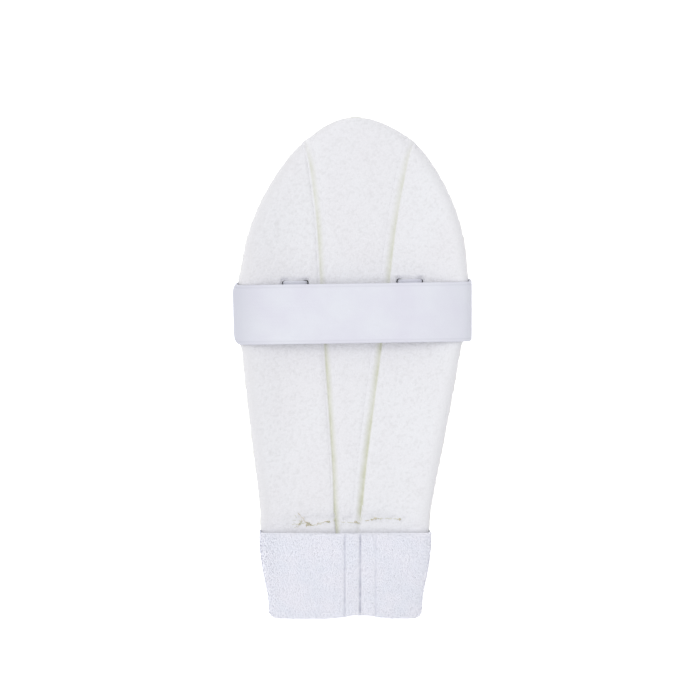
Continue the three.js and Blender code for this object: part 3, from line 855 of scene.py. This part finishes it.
def from_top(ring):
    """The ring from its highest point near the middle, first towards +X."""
    places = np.array([tuple(p) for p in ring])
    top = places[:, 2] > places[:, 2].max() - TOP_BAND
    start = min(np.flatnonzero(top), key=lambda i: abs(places[i, 0]))
    places = np.roll(places, -start, axis=0)
    if places[1, 0] < places[0, 0]:
        places = np.roll(places[::-1], 1, axis=0)
    return places


def strap_rails():
    """The strap's four long edges, as rings in step: the outer and the inner one at each side."""
    bm = welded("strap")
    bm.normal_update()
    rails = []
    for side in (-1, 1):
        walls = {f for f in bm.faces if f.normal.y * side > STRAP_SIDE}
        rims = {e for f in walls for e in f.edges if sum(g in walls for g in e.link_faces) == 1}
        rings = [from_top(ring) for ring in walk(rims)]
        rings.sort(key=lambda ring: -ring[0, 2])
        rails.extend(rings)
    bm.free()
    return rails


def resampled(rails):
    """The rails at even steps, with their turns rounded."""
    middle = sum(rails) / len(rails)
    length = np.linalg.norm(np.roll(middle, -1, axis=0) - middle, axis=1)
    along = np.concatenate([[0], np.cumsum(length)])
    at = np.linspace(0, along[-1], int(along[-1] / STRAP_FINE), endpoint=False)
    reach = int(3 * STRAP_ROUNDING / STRAP_FINE)
    kernel = np.exp(-((np.arange(-reach, reach + 1) * STRAP_FINE / STRAP_ROUNDING) ** 2) / 2)
    kernel /= kernel.sum()
    made = []
    for ring in rails:
        closed = np.vstack([ring, ring[:1]])
        fine = np.column_stack([np.interp(at, along, closed[:, k]) for k in range(3)])
        padded = np.vstack([fine[-reach:], fine, fine[:reach]])
        soft = np.column_stack([np.convolve(padded[:, k], kernel, "valid") for k in range(3)])
        made.append(soft[:: round(STRAP_STEP / STRAP_FINE)])
    return made


def bulge(solid, place, out):
    """How far the CAD strap's face lies outside the straight line between its edges."""
    start = Vector(place + out * BULGE_MOST)
    hit, normal, _, distance = solid.ray_cast(start, -Vector(out), 2 * BULGE_MOST)
    if hit is None or normal.dot(Vector(out)) < BULGE_FACING:
        return 0.0
    return BULGE_MOST - distance


def add_strap(material):
    left_out, left_in, right_out, right_in = resampled(strap_rails())
    width = np.linalg.norm(left_out[0] - right_out[0])
    shares = np.linspace(0, 1, STRAP_RIBS * RIB_POINTS + 1)
    edge = np.minimum(shares, 1 - shares) * width
    rib = RIB_HEIGHT * (np.abs(np.sin(np.pi * shares * STRAP_RIBS)) - 1)
    selvedge = np.exp(-(((edge - SELVEDGE_IN) / SELVEDGE_WIDTH) ** 2))
    lift = rib - SELVEDGE_DEPTH * selvedge - BORDER_DEPTH * np.exp(-edge / BORDER_WIDTH)
    solid = tree_of(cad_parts["strap"])
    rings = []
    for i in range(len(left_out)):
        outer = left_out[i] + np.outer(shares, right_out[i] - left_out[i])
        inner = left_in[i] + np.outer(shares, right_in[i] - left_in[i])
        out = left_out[i] - left_in[i] + right_out[i] - right_in[i]
        out = out / np.linalg.norm(out)
        if abs(out[0]) > BULGE_TURN and abs(left_out[i][0]) > BULGE_FROM:
            most = bulge(solid, (left_out[i] + right_out[i]) / 2, out)
            bow = np.outer(most * (1 - np.abs(2 * shares - 1) ** BULGE_SQUARE), out)
            outer = outer + bow
            inner = inner + bow
        outer = outer + np.outer(lift, out)
        inner = inner - np.outer(lift, out)
        rings.append(np.vstack([outer, inner[::-1]]))
    places = np.vstack(rings)
    x = np.abs(places[:, 0])
    leg = (x > SLIT_NEAR - LEG_REACH) & (x < SLIT_FAR + LEG_REACH) & (places[:, 2] < RUN_LOW)
    high = np.clip((places[:, 2] - BAR_LOW) / (BAR_HIGH - BAR_LOW), 0, 1) * leg
    near_leg = np.clip(1 - from_slit(x) / LEG_REACH, 0, 1) ** LEG_POWER
    places[:, 2] -= (BAR_DRAW + LEG_DRAW * near_leg) * high
    strap = mesh_object("elastic_strap", places, ring_faces(len(rings), len(rings[0]), closed=True))
    outwards(strap)
    # Painted shade: in the selvedge grooves, on steep faces, towards the ends (most at the left end) and on
    # the legs that go down into the slits
    painted_shade = np.tile(np.concatenate([selvedge, selvedge[::-1]]), len(rings))
    _, normals = places_and_normals(strap.data)
    steep = 1 - np.abs(normals[:, 2])
    ends = np.clip((x - ENDS_FROM) / ENDS_FADE, 0, 1) ** 2
    sunk = leg * (places[:, 2] > BAR_LOW)
    shade = SELVEDGE_SHADE * painted_shade + STEEP_SHADE * steep + END_SHADE * ends
    shade += LEFT_END_SHADE * (places[:, 0] < 0) * ends ** 3
    shade += SLIT_SHADE * sunk * (steep + near_leg)
    set_share(strap.data, "painted_shade", shade)
    finish_piece(strap, material, ["strap"])


# Tubes, for threads and towelling loops

class Tubes:
    """Many thin round strands, gathered into one mesh."""

    def __init__(self):
        self.vertices = []
        self.faces = []
        self.shares = []

    def add(self, points, radius, sides, shares=None):
        points = [Vector(p) for p in points]
        base = len(self.vertices)
        aside = None
        for i, point in enumerate(points):
            ahead = points[min(i + 1, len(points) - 1)]
            behind = points[max(i - 1, 0)]
            along = (ahead - behind).normalized()
            if aside is None:
                aside = along.orthogonal().normalized()
            else:
                aside = (aside - along * aside.dot(along)).normalized()
            third = along.cross(aside)
            self.shares.extend([shares[i] if shares else 0] * sides)
            for k in range(sides):
                turn = 2 * math.pi * k / sides
                self.vertices.append(point + (aside * math.cos(turn) + third * math.sin(turn)) * radius)
        for i in range(len(points) - 1):
            for k in range(sides):
                a = base + i * sides + k
                b = base + i * sides + (k + 1) % sides
                self.faces.append((a, b, b + sides, a + sides))
        self.faces.append(tuple(base + k for k in reversed(range(sides))))
        last = base + (len(points) - 1) * sides
        self.faces.append(tuple(last + k for k in range(sides)))

    def object(self, name):
        obj = mesh_object(name, self.vertices, self.faces)
        set_share(obj.data, "painted_shade", np.array(self.shares))
        return obj


def smooth_line(points, steps):
    """A rounder line through points."""
    made = []
    for i in range(len(points) - 1):
        a = points[max(i - 1, 0)]
        b = points[i]
        c = points[i + 1]
        d = points[min(i + 2, len(points) - 1)]
        for step in range(steps):
            t = step / steps
            square = (2 * a - 5 * b + 4 * c - d) * t * t
            cube = (3 * b - a - 3 * c + d) * t ** 3
            made.append(0.5 * (2 * b + (c - a) * t + square + cube))
    made.append(points[-1])
    return made


# The seam sewn across the panels

def add_seam_threads(covers, rust, straw):
    rng = random.Random(SEAM_SEED)
    solid = tree_of(*covers)
    rusty = Tubes()
    pale = Tubes()

    def on_pad(x, y, lift):
        hit = solid.ray_cast(Vector((x * MM, y * MM, RAY_START)), DOWN)[0]
        return hit + Vector((0, 0, lift * MM))

    def stray(most):
        return rng.uniform(-most, most)

    def sew(tubes, row, radius, wander):
        points = []
        for i, (x, y) in enumerate(row):
            points.append(on_pad(x, y, STITCH_LIFTS[i % 2]))
            if i < len(row) - 1:
                next_x, next_y = row[i + 1]
                middle_x = (x + next_x) / 2 + stray(wander) / 2
                middle_y = (y + next_y) / 2 + stray(wander)
                points.append(on_pad(middle_x, middle_y, STITCH_MIDDLE))
        tubes.add(smooth_line(points, THREAD_STEPS), radius, THREAD_SIDES)

    def knot(tubes, x, y, size):
        centre = on_pad(x, y, KNOT_LIFT)
        points = []
        for _ in range(KNOT_POINTS):
            way = Vector([rng.gauss(0, spread) for spread in KNOT_SPREAD])
            points.append(centre + way * (size * KNOT_RADIUS))
        tubes.add(smooth_line(points, KNOT_STEPS), SEAM_THREAD, KNOT_SIDES)

    for row in (LONG_STITCHES, MIDDLE_STITCHES, RIGHT_STITCHES):
        sew(pale, row, SEAM_THREAD, PALE_WANDER)
    for row in (RUST_STITCHES, RUST_RIGHT):
        sew(rusty, row, SEAM_THREAD, RUST_WANDER)
    across, along, smaller = SECOND_KNOT
    for i, (x, y, size) in enumerate(KNOTS):
        knot(pale if i % 2 else rusty, x, y, size)
        knot(rusty if i % 2 else pale, x + across, y + along, size * smaller)
    from_x, from_y = FRAY_FROM
    for x, y in FRAY_ENDS:
        bend = ((x + from_x) / 2 + stray(FRAY_BEND), (y + from_y) / 2 + stray(FRAY_BEND))
        sew(pale if x < FRAY_PALE else rusty, [FRAY_FROM, bend, (x, y)], FRAY_THREAD, FRAY_WANDER)
    for name, tubes, material in (("seam_threads_rust", rusty, rust), ("seam_threads_straw", pale, straw)):
        finish_piece(tubes.object(name), material)


# The cuff

def facing_out(obj, places, normals):
    """1 for each vertex from which a ray outwards doesn't meet the object again, and 0 for the others."""
    solid = tree_of(obj)
    outward = np.zeros(len(places))
    for i, (place, normal) in enumerate(zip(places, normals)):
        start = Vector(place) + Vector(normal) * FACE_SPARE
        hit = solid.ray_cast(start, Vector(normal), FACE_LOOK)[0]
        outward[i] = 1 if hit is None else 0
    return outward


def hugging(places, normals, outward, shell):
    """How far the inner faces of the cuff's sides move in, to lie against the pad at the mouth."""
    low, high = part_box("cuff")
    at = np.arange(low.y, high.y + 2 * HUG_ROW, HUG_ROW)
    left = np.interp(places[:, 1], at, even_out(edge_line(shell, LEFT, at), 2))
    right = np.interp(places[:, 1], at, even_out(edge_line(shell, RIGHT, at), 2))
    side = np.where(places[:, 0] > (low.x + high.x) / 2, RIGHT, LEFT)
    gap = side * (places[:, 0] - np.where(side == RIGHT, right, left)) - HUG_GAP
    inner = (outward < 0.5) & (normals[:, 0] * side < -HUG_FACING)
    fade = np.clip((places[:, 1] - high.y + HUG_START) / HUG_FADE, 0, 1)
    return -side * np.clip(gap, 0, HUG_MOST) * inner * fade


def add_cuff(shell, material):
    cuff = dense_copy("cuff", "towelling_cuff", CUFF_VOXEL)
    places, normals = places_and_normals(cuff.data)
    outward = facing_out(cuff, places, normals)
    front = outward * np.clip(normals[:, 2], 0, 1)
    lift = -PILE_ROOM * outward * (1 - np.abs(normals[:, 1]))
    lift += LINING_LIFT * soft_noise(places, LINING_SIZE, LINING_SEED) * (1 - outward)
    # Painted shade: a little on the lining, more on the outer face under the loops, and along the seams'
    # dips in dashes like stitches
    shade = LINING_SHADE + OUTSIDE_SHADE * outward
    dashes = STITCH_SHADE + STITCH_CHANGE * soft_noise(places * STITCH_STRETCH, SEAM_STITCH, STITCH_SEED)
    wander = SEAM_WANDER * soft_noise(places * [0, 1, 0], WANDER_SIZE, WANDER_SEED)
    for line, dip, dark in zip(SEAM_LINES, SEAM_DIP, SEAM_SHADE):
        near = np.exp(-(((places[:, 0] - line - wander) / SEAM_WIDTH) ** 2))
        lift -= dip * front * near
        shade += dark * front * near * dashes
    places = places + normals * lift[:, None]
    places[:, 0] += hugging(places, normals, outward, shell)
    set_places(cuff.data, places)
    set_share(cuff.data, "painted_shade", shade)
    finish_piece(cuff, material, ["cuff"])
    return cuff


# The terry loops

def near_seam(place, normal):
    """Whether a place lies in one of the bare lines on the cuff's front."""
    if normal.z < FRONT_FACING:
        return False
    return any(abs(place.x - line) < bare for line, bare in zip(SEAM_LINES, SEAM_BARE))


def loop_shade(place, normal, low, high):
    """How much painted shade a loop gets from its place in the cuff's box: at the sides and near the hem."""
    middle = (low.x + high.x) / 2
    out = abs(place.x - middle) / (0.5 * (high.x - low.x))
    most = LOOP_EDGE_SHADE[RIGHT if place.x > middle else LEFT]
    shade = LOOP_STEEP_SHADE * (1 - abs(normal.z)) + most * max(0.0, (out - LOOP_EDGE) / (1 - LOOP_EDGE))
    return shade + HEM_SHADE * max(0.0, 1 - (place.y - low.y) / HEM_REACH)


def add_loop(tubes, place, normal, side_shade, rng):
    """One loop, standing on the cloth with a little turn and lean."""
    turn = rng.gauss(0, LOOP_TURN)
    aside = normal.cross(Vector((math.cos(turn), math.sin(turn), 0))).normalized()
    lean = Vector((rng.uniform(-1, 1), rng.uniform(-1, 1), rng.uniform(-0.5, 0.5)))
    lean = (lean - normal * lean.dot(normal)) * (LOOP_LEAN * LOOP_HEIGHT)
    tall = LOOP_HEIGHT * rng.uniform(*LOOP_HEIGHTS)
    # Painted shade: a random amount for each loop, more towards its roots
    shade = rng.uniform(0, LOOP_SHADE) + side_shade
    points = []
    shares = []
    for step in range(LOOP_STEPS + 1):
        share = step / LOOP_STEPS
        rise = math.sin(math.pi * share)
        foot = place + aside * (LOOP_SPAN * (share - 0.5)) - normal * LOOP_ROOT
        points.append(foot + (normal * tall + lean) * rise)
        shares.append(shade + LOOP_SHADE * (1 - rise))
    tubes.add(points, LOOP_RADIUS, LOOP_SIDES, shares)


def add_loops(cuff, material):
    """Terry loops over the cuff's outer faces, in rows with a little disorder."""
    rng = random.Random(LOOP_SEED)
    solid = tree_of(cuff)
    low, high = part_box("cuff")
    front = Tubes()
    rest = Tubes()

    def cast(start, way, least):
        """Sets a loop where the ray meets the cloth, if it does so squarely enough."""
        place, normal, _, _ = solid.ray_cast(Vector(start), way)
        if place is None or -normal.dot(way) < least or near_seam(place, normal):
            return
        side_shade = loop_shade(place, normal, low, high)
        add_loop(front if normal.z > 0 else rest, place, normal, side_shade, rng)

    def stray(most):
        return rng.uniform(-most, most) * LOOP_PITCH

    y = low.y
    row = 0
    while y < high.y:
        x = low.x + (row % 2) * LOOP_PITCH / 2
        while x < high.x:
            across = x + stray(LOOP_STRAY)
            along = y + stray(LOOP_STRAY)
            cast((across, along, RAY_START), DOWN, ROW_FACING)
            cast((across, along, -RAY_START), UP, ROW_FACING)
            x += LOOP_PITCH
        z = low.z
        while z < high.z:
            height = z + stray(LOOP_STRAY)
            along = y + (row % 2) * LOOP_PITCH / 2 + stray(LOOP_SIDE_STRAY)
            cast((low.x - SIDE_START, along, height), Vector((1, 0, 0)), SIDE_FACING)
            cast((high.x + SIDE_START, along, height), Vector((-1, 0, 0)), SIDE_FACING)
            z += LOOP_PITCH
        y += LOOP_PITCH
        row += 1
    for name, tubes in (("towelling_loops_front", front), ("towelling_loops_back", rest)):
        finish_piece(tubes.object(name), material)


add_camera()
add_light()
add_floor()
set_plain_colours()

pile = pile_material()
foam = foam_material()
elastic = elastic_material()
towelling = towelling_material()
rust = thread_material("rust_thread", RUST_DARK, RUST_LIGHT)
straw = thread_material("straw_thread", STRAW_DARK, STRAW_LIGHT)

shell = add_shell(foam)
left, middle, right = [add_panel(node, shell, pile, seed) for node, seed in zip(PANEL_NODES, PANEL_SEEDS)]
left_bead = add_bead("groove_bead_left", left, middle, shell, LEFT, pile)
right_bead = add_bead("groove_bead_right", right, middle, shell, RIGHT, pile)
add_seam_threads([left, middle, right, left_bead, right_bead], rust, straw)
add_strap(elastic)
cuff = add_cuff(shell, towelling)
add_loops(cuff, towelling)
